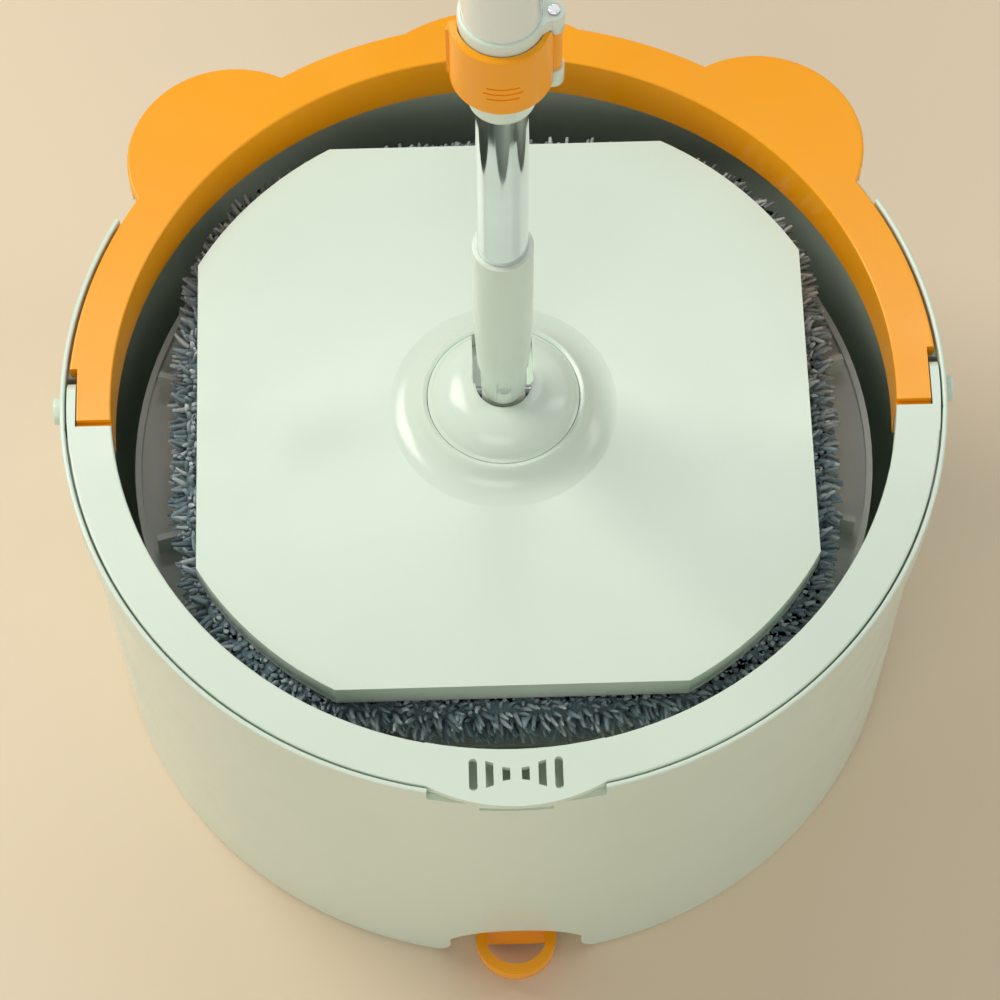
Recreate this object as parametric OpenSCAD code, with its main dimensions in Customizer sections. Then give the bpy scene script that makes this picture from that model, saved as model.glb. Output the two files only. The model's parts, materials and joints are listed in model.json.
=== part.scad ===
// Spin mop: a round wash bucket with a carrying handle, an eared splash guard, a wash tray
// and a turning seat, and a square-headed mop whose pole spins the head when it is pressed.
// Origin: centre of the bucket's base, on the floor. +Z up, the drain plug towards -Y.

/* [Bucket] */
// Outer radius of the rim
rim_r = 177.5; // [150:0.5:215]
// Height of the rim above the floor
rim_h = 191; // [170:1:230]
// How much smaller the base radius is than the rim radius
taper = 8.6; // [4:0.2:14]
// Wall thickness
wall = 2.6; // [2:0.1:3.2]
// Width of the flat ring that the handle and the guard form inside the rim
ring_w = 20.5; // [18:0.5:26]

/* [Splash guard] */
// Radius of each ear
ear_r = 43.6; // [30:0.2:50]
// Angle of each ear above the side axis
ear_angle = 45.8; // [40:0.2:50]
// Height of the guard's inner wall
guard_h = 24.4; // [14:0.2:26]

/* [Drain] */
// Radius of the drain bore
drain_r = 9; // [7:0.5:9.5]
// Height of the drain bore's axis
drain_z = 17; // [17:0.5:18]

/* [Mop head] */
// Gap between the spinning pad's corners and the ring
pad_gap = 7; // [5:0.5:12]
// Thickness of the pad
pad_t = 17; // [12:1:20]
// Outer radius of the hub cap on the plate
hub_r = 30.5; // [29:0.5:38]

/* [Pole] */
// Outer radius of the lower, chromed tube
tube_r = 9.7; // [9.5:0.1:10.5]
// Outer radius of the upper tube
upper_r = 14; // [13.8:0.1:15]
// Length of the upper tube
upper_l = 588; // [540:1:680]
// Rise of the twisted rod in one turn
lead = 100; // [80:5:140]
// Width of the twisted rod
rod_w = 8; // [7:0.5:9]
// Travel from the pressed position to the pull-out stop
stroke_up = 300; // [200:10:300]

/* [Hidden] */
$fn = 96;

run = 0.06;   // radial clearance of a pin that turns in a bore
gap = 0.3;    // clearance between faces that pass each other
over = 1;     // how far a cutter runs past the face it cuts

// Rim and ring
lip_t = 2.1;
lip_r = rim_r - lip_t;           // inside of the raised lip
ring_r = lip_r - 0.8;            // outside of the handle's ring
guard_r = lip_r - 1.2;           // outside of the guard's ring
ring_in_r = rim_r - ring_w;      // inside of both
plate_t = 2.7;                   // thickness of the ring's top
skirt_t = 2.2;                   // thickness of the skirts below it
base_r = rim_r - taper;
band_z = rim_h - 22;             // lower edge of the thicker band under the rim
band_step = 2.4;
band_r = rim_r - 0.9;            // outside of the band at its lower edge
ledge_z = rim_h - 7;             // the ring's skirts stand on this ledge
function wall_r(z) = base_r + (band_r - band_step - base_r) * z / band_z;

// Front bulge of the handle and rear bulge of the guard, for the fingers
bulge_out = 3;
bulge_half = 34.5;
bulge_sag = rim_r + bulge_out - sqrt(pow(ring_r, 2) - pow(bulge_half, 2));
bulge_r = (pow(bulge_half, 2) + pow(bulge_sag, 2)) / (2 * bulge_sag);
lip_gap_front = asin(bulge_half / rim_r);
lip_rear_start = 28.2;           // the lip is left out behind this angle, under the ears

// Handle pivots
pivot_z = rim_h - 10;
arm_reach = 8.2;
arm_swing_r = 11;
arm_in_x = ring_r - 3.6;
joint_y = 12.4;                  // the handle's ring ends this far in front of the pivots
guard_end_y = 9.6;
pivot_pin_r = 3;
knob_r = 5.5;
knob_t = 3;

// Base and drain
floor_z = 7.5;
floor_t = 2.5;
foot_r = 28;
recess_y = base_r - 13;          // back wall of the drain recess
arch_h = 30.3;
arch_half = 27.5;
arch_shoulder = 15;
arch_sag = arch_h - arch_shoulder;
arch_r = (pow(arch_half, 2) + pow(arch_sag, 2)) / (2 * arch_sag);
flare_r = 9;
plug_half = 16.7;
plug_bar = 4.6;
plug_bar_z = 11;
plug_bar_t = 7;
plug_web = 8;                    // how far the loop's back bar reaches down below the loop
plug_reach = 15.5;               // how far the pull loop stands out in front of the skirt
seal_r = 0.86;

// Mop head, downwards from the plate's top
plate_z = rim_h - 15;
head_t = 13;
base_t = 3;
head_z = plate_z - head_t;       // underside of the head
pad_r = ring_in_r - pad_gap;
plate_cut_r = pad_r - 8.5;
plate_half = pad_r - 26.5;
pad_half = plate_half + 9;
strip_t = 0.8;
pad_top = head_z - 1;
pad_z = pad_top - pad_t;
pad_hole_r = 38;
flare_w = 15.5;                  // width of the plate's flare around the hub cap
flare_h = 9;
lug_count = 8;

// Turning seat and wash tray
seat_z = head_z - 3;             // top of the seat's crown
seat_r = 32;
seat_low = pad_z + 1;
bearing_r = 9;
bearing_t = 6;
spindle_r = 4;
clip_z = seat_z - 4;
hub_low = seat_z - 26;           // lower end of the seat's hub
tray_deck = pad_z - 16;          // top of the tray's deck
tray_r = pad_r + 2;
tray_t = 3;
rib_count = 12;
rib_h = 12;
leg_r = 9;
leg_ring = tray_r * 0.78;
boss_r = 16;
boss_low = hub_low - 33;

// Tilting joint
pitch_z = plate_z + 12;
roll_z = pitch_z + 19;
joint_pin_r = 2.5;
barrel_half = 8.6;               // half the length of the knuckle's lower barrel
tongue_half = 4.6;
sleeve_low_r = 10.3;
sleeve_r = tube_r + 2;
sleeve_cone = roll_z + 8;        // the sleeve widens from here
sleeve_full = roll_z + 43;
tube_z = sleeve_full - 5;        // lower end of the chromed tube
sleeve_top = roll_z + 96;
hub_slot = sleeve_low_r + 1.8;
ear_out = 18;

// Pole, in the pressed position
tube_t = 0.8;
upper_t = 1;
collar_z = sleeve_top + 102;     // lower end of the collar
collar_l = 54.5;
collar_r = upper_r + 1.3;
collar_cone = 14;
socket_z = collar_z + 27;        // lower end of the upper tube
lever_z = collar_z + 16.5;
lever_h = 32.3;
lever_in = collar_r + 0.5;
lever_t = 2.6;
hinge_x = upper_r + 3.8;
hinge_y = -1;
hinge_r = 3.1;
hinge_pin_r = 1.5;
lug_r = 3.9;
lug_t = 9;
shoe_half = 4.7;
shoe_z = collar_z + 17.5;
shoe_h = 7;
upper_top = socket_z + upper_l;
clutch_z = upper_top - 116;      // underside of the clutch
clutch_h = 40;
tube_top = clutch_z - 100 - 20;  // clear of the clutch when the pole is pressed home
nut_h = 14;
rod_t = 3.2;
rod_z = tube_top - nut_h - stroke_up - 2;
rod_top = clutch_z + 7;
rod_slack = 0.35;
grip_l = 118;
grip_z = upper_top - 104;
grip_r = upper_r + 3.4;
cap_l = 34;
hang_r = 5.5;
tab_t = 9;

// ---- shared shapes ----

function arc(cx, cy, r, a0, a1, n = 6) =
    [for (i = [0:n]) [cx + r * cos(a0 + (a1 - a0) * i / n), cy + r * sin(a0 + (a1 - a0) * i / n)]];

// A ring that stands on z
module ring(z, r_in, r_out, h) {
    translate([0, 0, z]) difference() {
        cylinder(r = r_out, h = h);
        translate([0, 0, -over]) cylinder(r = r_in, h = h + 2 * over);
    }
}

// A rod along X, centred on y and z
module rod_x(x0, x1, y, z, r) {
    translate([x0, y, z]) rotate([0, 90, 0]) cylinder(r = r, h = x1 - x0);
}

// A rod along Y, centred on x and z
module rod_y(y0, y1, x, z, r) {
    translate([x, y0, z]) rotate([-90, 0, 0]) cylinder(r = r, h = y1 - y0);
}

// A box from its two corners
module box(low, high) {
    translate(low) cube(high - low);
}

// The sector of the plane between two angles, as a wedge of height h
module wedge(a0, a1, r, z, h) {
    translate([0, 0, z]) rotate([0, 0, a0]) rotate_extrude(angle = a1 - a0) square([r, h]);
}

// The finger bulge's outline, on the side of +Y
module bulge_outline() {
    difference() {
        translate([0, rim_r + bulge_out - bulge_r]) circle(r = bulge_r);
        circle(r = ring_in_r);
        translate([-2 * rim_r, -2 * rim_r]) square([4 * rim_r, 2.5 * rim_r]);
    }
}

// The square head's outline: half is half its width, cut its corners' radius
module head_outline(half, cut) {
    intersection() {
        square(2 * half, center = true);
        circle(r = cut);
    }
}

// The twisted bar between two heights. Its angle depends only on the height,
// so the rod fits the nut's slot wherever the two meet.
module twisted_bar(z0, z1, w, t) {
    c = 0.7;
    translate([0, 0, z0]) rotate([0, 0, 360 * z0 / lead])
        linear_extrude(height = z1 - z0, twist = -360 * (z1 - z0) / lead, slices = ceil((z1 - z0) / 3.3),
                       segments = 8)
            polygon([[w / 2, t / 2 - c], [w / 2 - c, t / 2], [c - w / 2, t / 2], [-w / 2, t / 2 - c],
                     [-w / 2, c - t / 2], [c - w / 2, -t / 2], [w / 2 - c, -t / 2], [w / 2, c - t / 2]]);
}

// A pan-head screw pointing up, its head's underside at z
module screw_up(x, y, z, r, l) {
    translate([x, y, z - 0.2]) cylinder(r = r, h = l);
    translate([x, y, z - 1.6]) cylinder(r = 2 * r, h = 1.6);
}

// ---- bucket ----

module arch_outline() {
    intersection() {
        translate([-arch_half, -over]) square([2 * arch_half, arch_h + 2 * over]);
        translate([0, arch_h - arch_r]) circle(r = arch_r);
    }
    difference() {
        translate([-arch_half - flare_r, -over]) square([2 * (arch_half + flare_r), flare_r + over]);
        for (s = [-1, 1]) translate([s * (arch_half + flare_r), flare_r]) circle(r = flare_r);
    }
}

module bucket_wall() {
    top = 0.9;
    rotate_extrude() polygon(concat(
        [[0, floor_z - floor_t], [wall_r(0) - wall - 0.4, floor_z - floor_t], [base_r - wall - 0.4, 0]],
        [[base_r - 0.6, 0], [base_r, 0.8], [wall_r(band_z), band_z], [band_r - 0.5, band_z]],
        [[band_r, band_z + 0.6]],
        arc(rim_r - top - 0.1, rim_h - top, top, 0, 90),
        arc(lip_r + top, rim_h - top, top, 90, 180),
        [[lip_r, ledge_z], [wall_r(ledge_z) - wall, ledge_z], [wall_r(floor_z) - wall, floor_z + 4]],
        arc(wall_r(floor_z) - wall - 4, floor_z + 4, 4, 0, -90),
        [[0, floor_z]]));
}

module bucket() {
    color("honeydew") difference() {
        union() {
            bucket_wall();
            // Walls of the drain recess, inside the bucket
            intersection() {
                box([-arch_half - flare_r - 2, -base_r, 0], [arch_half + flare_r + 2, -recess_y + wall, arch_h + wall]);
                cylinder(r1 = wall_r(0) - 1, r2 = wall_r(40) - 1, h = 40);
            }
            rod_y(-recess_y, -recess_y + 11, 0, drain_z, drain_r + 2.4);
            // Feet: the central one, a ring and the ribs between them
            cylinder(r = foot_r, h = floor_z - over);
            ring(0, base_r * 0.62, base_r * 0.62 + 3, floor_z - over);
            for (a = [0:30:330]) if (a != 270)
                rotate([0, 0, a]) box([foot_r - 2, -1.2, 2.2], [base_r - wall - 1, 1.2, floor_z - over]);
        }
        // Arch and recess
        translate([0, -recess_y, 0]) rotate([90, 0, 0]) linear_extrude(height = 30) arch_outline();
        rod_y(-recess_y - over, -recess_y + 11 + over, 0, drain_z, drain_r);
        // The lip is left out at the front and behind the ears
        wedge(270 - lip_gap_front, 270 + lip_gap_front, rim_r + over, ledge_z, 10);
        wedge(lip_rear_start, 180 - lip_rear_start, rim_r + over, ledge_z, 10);
        for (s = [-1, 1]) {
            // Pocket of the handle's arm, and the pivot's bore
            box([min(s * (arm_in_x - 3), s * (ring_r + 0.5)), -joint_y - 1.6, band_z + 0.6],
                [max(s * (arm_in_x - 3), s * (ring_r + 0.5)), 13, rim_h + over]);
            rod_x(min(s * rim_r * 0.95, s * rim_r * 1.05), max(s * rim_r * 0.95, s * rim_r * 1.05),
                  0, pivot_z, pivot_pin_r + run);
        }
        // Slit under the handle's front bulge
        box([-14.3, -rim_r - 2, rim_h - 13.4], [14.3, -rim_r + 2.6, rim_h - 11]);
    }
}

module handle_pins() {
    color("mintcream") for (s = [-1, 1]) scale_x(s) {
        rod_x(arm_in_x - 0.2, rim_r + 0.3, 0, pivot_z, pivot_pin_r);
        translate([rim_r + 0.1, 0, pivot_z]) rotate([0, 90, 0]) rotate_extrude()
            polygon(concat([[0, 0], [knob_r, 0]], arc(knob_r - 1, knob_t - 1, 1, 0, 90), [[0, knob_t]]));
    }
}

// The shape itself, or its mirror image across X when s is -1
module scale_x(s) {
    if (s > 0) children();
    else mirror([1, 0, 0]) children();
}

// ---- wash tray and the seat's spindle ----

module wash_tray() {
    color("seashell") difference() {
        union() {
            translate([0, 0, tray_deck - tray_t]) cylinder(r = tray_r, h = tray_t);
            ring(tray_deck - 8, tray_r - 2.5, tray_r, 12);
            for (i = [0:rib_count - 1]) rotate([0, 0, (i + 0.5) * 360 / rib_count])
                box([46, -1.3, tray_deck - over], [tray_r - 5, 1.3, tray_deck + rib_h]);
            translate([0, 0, boss_low]) cylinder(r = boss_r, h = hub_low - 2 - boss_low);
            for (a = [45:90:315]) rotate([0, 0, a]) {
                translate([leg_ring, 0, floor_z]) cylinder(r = leg_r, h = tray_deck - floor_z - over);
                box([boss_r - 2, -1.5, tray_deck - 18], [leg_ring, 1.5, tray_deck - over]);
            }
        }
        translate([0, 0, boss_low - over]) cylinder(r = spindle_r, h = hub_low - boss_low);
        for (a = [45:90:315]) rotate([0, 0, a])
            translate([leg_ring, 0, floor_z - over]) cylinder(r = leg_r - 2.2, h = tray_deck - floor_z - tray_t);
        // Drain slots, three between each pair of ribs
        for (i = [0:rib_count - 1]) for (r = [60, 84, 130]) rotate([0, 0, i * 360 / rib_count])
            box([r * tray_r / 152 - 1.8, -r * 0.16, tray_deck - tray_t - over],
                [r * tray_r / 152 + 1.8, r * 0.16, tray_deck + over]);
    }
}

module spindle() {
    color("silver") difference() {
        translate([0, 0, boss_low - 8]) cylinder(r = spindle_r, h = clip_z + 1.9 - boss_low + 8);
        ring(clip_z, spindle_r - 0.6, spindle_r + over, 1.2);
    }
}

module spindle_nut() {
    color("silver") difference() {
        translate([0, 0, boss_low - 6.2]) cylinder(r = 7.5, h = 6, $fn = 6);
        translate([0, 0, boss_low - 8]) cylinder(r = spindle_r + 0.02, h = 10);
    }
}

module spindle_clip() {
    color("dimgray") ring(clip_z + 0.1, spindle_r - 0.5, spindle_r + 2.4, 1);
}

// ---- turning seat ----

module spin_seat() {
    color("seashell") difference() {
        union() {
            ring(hub_low, bearing_r, bearing_r + 3.5, seat_z - hub_low);
            ring(seat_z - 3, bearing_r + 2, seat_r, 3);
            rotate_extrude() polygon([[seat_r - 2.4, seat_z - over], [seat_r, seat_z],
                                      [seat_r + 2.5, seat_low], [seat_r + 0.3, seat_low]]);
            for (i = [0:lug_count - 1]) rotate([0, 0, i * 360 / lug_count]) {
                box([bearing_r + 2, -1.2, seat_z - 9], [seat_r - 1, 1.2, seat_z - over]);
                box([19, -2.5, seat_z - over], [28, 2.5, seat_z + 4.5]);
            }
        }
        translate([0, 0, hub_low - over]) cylinder(r = bearing_r, h = seat_z - hub_low + 2 * over);
    }
}

module seat_bearings() {
    color("silver") for (z = [hub_low + 1, clip_z - bearing_t - 0.4])
        ring(z, spindle_r + run, bearing_r - 0.02, bearing_t);
}

module seat_cap() {
    color("mintcream") translate([0, 0, seat_z - 1.8]) cylinder(r = bearing_r - 0.02, h = 1.8);
}

// ---- drain plug ----

// Outline of the pull loop seen from above, y forwards: a D, straight at the back
module d_outline(half, back, front) {
    depth = front - back - 6;
    translate([-half, back]) square([2 * half, 6.1]);
    intersection() {
        translate([0, back + 6]) circle_segment(half, depth);
        translate([-half, back]) square([2 * half, front - back + over]);
    }
}

// The part of a disc above a chord of the given half length and height
module circle_segment(half, h) {
    r = (half * half + h * h) / (2 * h);
    intersection() {
        translate([0, h - r]) circle(r = r);
        translate([-half, 0]) square([2 * half, h + over]);
    }
}

module drain_plug() {
    front = base_r + plug_reach;
    back = recess_y + 4.2;
    color("darkorange") {
        difference() {
            union() {
                rod_y(-recess_y - 0.6, -recess_y + 12.5, 0, drain_z, drain_r - gap);
                rod_y(-back, -recess_y - gap, 0, drain_z, 13);
            }
            translate([0, -recess_y + 7, drain_z]) rotate([-90, 0, 0])
                ring(0, drain_r - 2 * seal_r - 0.1, drain_r + over, 2 * seal_r + 0.2);
        }
        translate([0, 0, plug_bar_z]) mirror([0, 1, 0]) linear_extrude(height = plug_bar_t) difference() {
            d_outline(plug_half, back - 0.1, front);
            d_outline(plug_half - plug_bar, back + 5.4, front - plug_bar);
        }
        box([-plug_half, -back - 5.4, plug_bar_z - plug_web], [plug_half, -back + 0.1, plug_bar_z + plug_bar_t]);
    }
}

module plug_seal() {
    color("dimgray") translate([0, -recess_y + 7.1 + seal_r, drain_z]) rotate([90, 0, 0]) rotate_extrude()
        translate([drain_r - seal_r - 0.04, 0]) circle(r = seal_r, $fn = 32);
}

// ---- carrying handle ----

module handle_slots() {
    // Three upright slots on each side, tallest at the ends: [x, half height inside, half height outside]
    rows = [[10.1, 4.6, 5.6], [3.7, 2.4, 2.9]];
    for (q = rows) for (s = [-1, 1]) translate([s * q[0], -rim_r + 10.4])
        polygon([[-s * 1.5, -q[1]], [s * 1.5, -q[2]], [s * 1.5, q[2]], [-s * 1.5, q[1]]]);
    // The outer two have round ends
    for (s = [-1, 1]) translate([s * 16.4, -rim_r + 10.4]) {
        square([3.2, 10], center = true);
        for (t = [-1, 1]) translate([0, t * 5]) circle(r = 1.6);
    }
}

module carry_handle() {
    edge = 0.8;
    color("honeydew") difference() {
        union() {
            // Ring and skirts, in front of the pivots
            intersection() {
                rotate_extrude() polygon(concat(
                    arc(ring_in_r + edge, rim_h - edge, edge, 180, 90, 4),
                    arc(ring_r - edge, rim_h - edge, edge, 90, 0, 4),
                    [[ring_r, rim_h - plate_t], [ring_r - 0.2, ledge_z + gap], [ring_r - 0.2 - skirt_t, ledge_z + gap],
                     [ring_r - 0.2 - skirt_t, rim_h - plate_t], [ring_in_r + skirt_t, rim_h - plate_t],
                     [ring_in_r + skirt_t, rim_h - 10], [ring_in_r, rim_h - 10]]));
                union() {
                    box([-rim_r, -rim_r, rim_h - plate_t], [rim_r, -joint_y, rim_h + over]);
                    box([-rim_r, -rim_r, rim_h - 12], [rim_r, -joint_y - 2.2, rim_h - plate_t]);
                }
            }
            translate([0, 0, rim_h - plate_t]) mirror([0, 1, 0]) linear_extrude(height = plate_t) intersection() {
                bulge_outline();
                translate([-bulge_half, 0]) square([2 * bulge_half, 2 * rim_r]);
            }
            // Floor of the pocket under the slots
            intersection() {
                ring(rim_h - 9.8, ring_in_r + over, ring_r - skirt_t - 0.6, 1.6);
                box([-23, -rim_r, 0], [23, 0, rim_h]);
            }
            // Ribs under the ring
            for (a = [195:15:345]) if (a != 270) rotate([0, 0, a])
                box([ring_in_r + over, -0.9, ledge_z + 0.5], [ring_r - 2, 0.9, rim_h - over]);
            // Arms back to the pivots
            for (s = [-1, 1]) scale_x(s) intersection() {
                union() {
                    box([arm_in_x, -joint_y - 12, rim_h - 19.4], [rim_r, 0, rim_h]);
                    rod_x(arm_in_x, rim_r, 0, pivot_z, arm_swing_r);
                }
                box([arm_in_x, -joint_y - 12, rim_h - 19.4], [rim_r, arm_reach, rim_h]);
                cylinder(r = ring_r, h = rim_h);
                arm_sweep();
            }
        }
        translate([0, 0, rim_h - plate_t - over]) linear_extrude(height = plate_t + 2 * over) handle_slots();
        rod_x(-rim_r, rim_r, 0, pivot_z, pivot_pin_r + run);
    }
}

// Room that the arms may fill: above the ledge in front, and round the pivot
module arm_sweep() {
    box([0, -joint_y - 13, ledge_z + gap], [rim_r, 0, rim_h + over]);
    rod_x(0, rim_r, 0, pivot_z, arm_swing_r);
}

// ---- splash guard ----

// One ear: a disc with a rim below, cut to clear the bucket's rim
module guard_ear() {
    edge = 1;
    flat = rim_h - plate_t - 0.3;
    difference() {
        translate([ear_x(), ear_y(), 0]) rotate_extrude() polygon(concat(
            [[0, flat], [ear_r - 2.2, flat], [ear_r - 2.2, rim_h - 8], [ear_r, rim_h - 8]],
            arc(ear_r - edge, rim_h - edge, edge, 0, 90, 4),
            [[0, rim_h]]));
        translate([0, 0, rim_h - 20]) cylinder(r = guard_r - 4, h = 30);
        translate([0, 0, rim_h - 20]) cylinder(r = rim_r + 0.8, h = 20 - plate_t - 0.3);
    }
}
function ear_x() = (rim_r - 22) * cos(ear_angle);
function ear_y() = (rim_r - 22) * sin(ear_angle);

module splash_guard() {
    edge = 0.8;
    flat = rim_h - plate_t - 0.3;
    out = guard_r - 0.2;
    tab_out = wall_r(ledge_z - 12) - wall - 0.5;
    color("orange") difference() {
        union() {
            // Ring: the inner wall, the flat top and the outer skirt
            difference() {
                rotate_extrude() polygon(concat(
                    arc(ring_in_r + edge, rim_h - edge, edge, 180, 90, 4),
                    arc(guard_r - edge, rim_h - edge, edge, 90, 0, 4),
                    [[guard_r, flat], [out, ledge_z + gap], [out - skirt_t, ledge_z + gap], [out - skirt_t, flat],
                     [ring_in_r + skirt_t, flat], [ring_in_r + skirt_t, rim_h - guard_h],
                     [ring_in_r, rim_h - guard_h]]));
                box([-2 * rim_r, -2 * rim_r, 0], [2 * rim_r, -joint_y + 0.4, 2 * rim_h]);
                box([-2 * rim_r, -2 * rim_r, rim_h - plate_t - 0.1], [2 * rim_r, -guard_end_y, 2 * rim_h]);
            }
            // Solid ends
            for (s = [-1, 1]) scale_x(s) intersection() {
                ring(rim_h - 7, ring_in_r + over, guard_r - 2, 7 - plate_t - 0.1);
                box([0, -joint_y + 0.4, 0], [rim_r, 4, rim_h]);
            }
            for (s = [-1, 1]) scale_x(s) guard_ear();
            // Rear bulge
            translate([0, 0, flat]) linear_extrude(height = plate_t + 0.3) difference() {
                translate([0, rim_r + bulge_out - bulge_r]) circle(r = bulge_r);
                circle(r = guard_r - 5);
                translate([-2 * rim_r, -2 * rim_r]) square([4 * rim_r, 2.5 * rim_r]);
            }
            // Tabs that hold the guard inside the bucket's wall, each on a web
            for (a = [20, 68, 112, 160]) rotate([0, 0, a]) {
                intersection() {
                    ring(ledge_z - 12, tab_out - 2, tab_out, 18);
                    box([0, -9, 0], [rim_r, 9, rim_h]);
                }
                box([ring_in_r + over, -1, rim_h - 9], [tab_out - over, 1, rim_h - over]);
            }
        }
        // Notch for the handle's arms
        for (s = [-1, 1]) scale_x(s)
            box([arm_in_x - 0.5, -rim_r, 0], [rim_r + 5, 13.8, rim_h + over]);
    }
}

// ---- mop head ----

module head_plate() {
    color("honeydew") difference() {
        union() {
            translate([0, 0, plate_z - 2.6]) linear_extrude(height = 2.6) head_outline(plate_half, plate_cut_r);
            translate([0, 0, head_z + base_t + 0.3]) linear_extrude(height = head_t - base_t - 1.3) difference() {
                head_outline(plate_half, plate_cut_r);
                head_outline(plate_half - 2.5, plate_cut_r - 2.5);
            }
            // Flare up to the hub cap, and the socket below it
            rotate_extrude() polygon(concat(
                arc(hub_r + flare_w, plate_z + 14, 14, 270, 221, 6),
                [[hub_r + 2, plate_z + flare_h], [hub_r + 0.3, plate_z + flare_h - 0.6],
                 [hub_r + 0.3, head_z + base_t + 0.3], [hub_r + 3, head_z + base_t + 0.3],
                 [hub_r + 3, plate_z - 1.5], [hub_r + flare_w, plate_z - 1.5]]));
            for (a = [0:45:315]) rotate([0, 0, a])
                box([hub_r + 1, -1, head_z + 5], [plate_half - 1, 1, plate_z - over]);
            for (p = screw_points()) translate([p[0], p[1], head_z + base_t + 0.3])
                cylinder(r = 4, h = head_t - base_t - 1.3);
        }
        translate([0, 0, head_z]) cylinder(r = hub_r + 0.3, h = head_t + flare_h + 5);
        for (p = screw_points()) translate([p[0], p[1], head_z]) cylinder(r = 1.5, h = head_t - 3.6);
    }
}

function screw_points() = [for (a = [22.5:45:337.5]) [plate_half * 0.78 * cos(a), plate_half * 0.78 * sin(a)]];

module head_base() {
    color("seashell") difference() {
        union() {
            translate([0, 0, head_z]) linear_extrude(height = base_t)
                head_outline(plate_half - 0.4, plate_cut_r - 0.4);
            translate([0, 0, seat_z + gap]) cylinder(r = pad_hole_r - 1.5, h = base_t + 2.6);
        }
        for (i = [0:lug_count - 1]) rotate([0, 0, i * 360 / lug_count])
            box([18.4, -3.1, seat_z - over], [28.6, 3.1, seat_z + 5.2]);
        for (p = screw_points()) translate([p[0], p[1], head_z - over]) cylinder(r = 1.7, h = 10);
        for (p = screw_points()) translate([p[0], p[1], head_z - over]) cylinder(r = 3.3, h = 2.8);
    }
}

module head_screws() {
    color("silver") for (p = screw_points()) screw_up(p[0], p[1], head_z + 1.7, 1.45, 7);
}

// Domed cap over the tilting joint, open at the top and, for the pole's fold, at the back
module hub_cap() {
    top_r = sleeve_low_r + 0.9;
    dome = concat([[hub_r, plate_z + 8.6]], arc(13, plate_z + 1.6, 18, 24, 84, 8));
    color("honeydew") difference() {
        union() {
            rotate_extrude() polygon(concat(
                [[top_r, head_z + base_t + 0.4], [hub_r, head_z + base_t + 0.4]],
                dome,
                [[top_r, plate_z + 19.4]]));
        }
        // Hollow for the knuckle, and the slot that the pole folds back through
        translate([0, 0, pitch_z - 9]) cylinder(r = top_r, h = 30);
        box([-hub_slot, -8, pitch_z - 9], [hub_slot, 8, plate_z + 14]);
        box([-hub_slot, 0, plate_z - 1], [hub_slot, hub_r + over, plate_z + 40]);
        rod_x(-ear_out, ear_out, 0, pitch_z, joint_pin_r + 0.02);
        translate([0, 0, head_z - over]) cylinder(r = hub_r - 12, h = 7);
    }
}

module pitch_pin() {
    color("silver") rod_x(-ear_out + 0.1, ear_out - 0.1, 0, pitch_z, joint_pin_r);
}

module hook_strips() {
    w = 14;
    color("white") for (s = [-1, 1]) for (t = [0, 1]) rotate([0, 0, t * 90])
        translate([0, s * (plate_half - 14), pad_top + 0.2])
            box([-plate_half * 0.55, -w / 2, 0], [plate_half * 0.55, w / 2, strip_t]);
}

module mop_pad() {
    color("lightslategray") translate([0, 0, pad_z]) linear_extrude(height = pad_t) difference() {
        head_outline(pad_half, pad_r);
        circle(r = pad_hole_r);
    }
}

// ---- tilting joint and lower pole ----

module knuckle() {
    color("seashell") difference() {
        union() {
            rod_x(-barrel_half, barrel_half, 0, pitch_z, 6.5);
            rod_y(-tongue_half, tongue_half, 0, roll_z, 6);
            box([-6, -tongue_half, pitch_z], [6, tongue_half, roll_z]);
        }
        rod_x(-20, 20, 0, pitch_z, joint_pin_r + run);
        rod_y(-20, 20, 0, roll_z, joint_pin_r + run);
    }
}

module lower_sleeve() {
    color("honeydew") difference() {
        union() {
            intersection() {
                union() {
                    rod_y(-20, 20, 0, roll_z, sleeve_low_r);
                    box([-20, -20, roll_z], [20, 20, sleeve_cone + over]);
                }
                translate([0, 0, roll_z - 20]) cylinder(r = sleeve_low_r, h = sleeve_cone - roll_z + 21);
            }
            rotate_extrude() polygon(concat(
                [[0, sleeve_cone], [sleeve_low_r, sleeve_cone], [sleeve_r, sleeve_full]],
                arc(sleeve_r - 0.6, sleeve_top - 0.6, 0.6, 0, 90, 3), [[0, sleeve_top]]));
        }
        box([-20, -tongue_half - gap, roll_z - 20], [20, tongue_half + gap, roll_z + 8]);
        translate([0, 0, roll_z + 14]) cylinder(r = tube_r - 3, h = 60);
        translate([0, 0, tube_z]) cylinder(r = tube_r + 0.02, h = 200);
        rod_y(-20, 20, 0, roll_z, joint_pin_r + 0.02);
        rod_y(5, 20, 0, tube_z + 22, 1.8);
    }
}

module roll_pin() {
    color("silver") rod_y(-sleeve_low_r + 0.3, sleeve_low_r - 0.3, 0, roll_z, joint_pin_r);
}

module sleeve_screw() {
    color("silver") {
        rod_y(tube_r - 2.2, sleeve_r, 0, tube_z + 22, 1.75);
        rod_y(sleeve_r, sleeve_r + 1.4, 0, tube_z + 22, 3.2);
    }
}

module lower_tube() {
    color("silver") difference() {
        ring(tube_z + 0.2, tube_r - tube_t, tube_r, tube_top - tube_z);
        rod_y(0, 20, 0, tube_z + 22, 1.78);
    }
}

module drive_nut() {
    color("mintcream") difference() {
        union() {
            translate([0, 0, tube_top - nut_h]) cylinder(r = tube_r - tube_t - 0.05, h = nut_h + 0.2);
            translate([0, 0, tube_top + 0.2]) cylinder(r = tube_r, h = 2.5);
        }
        twisted_bar(tube_top - nut_h - over, tube_top + 2.7 + over, rod_w + 2 * rod_slack, rod_t + 2 * rod_slack);
    }
}

module guide_ring() {
    color("white") ring(tube_top - 20, tube_r + 0.02, upper_r - upper_t - gap, 16);
}

// ---- upper pole ----

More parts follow.
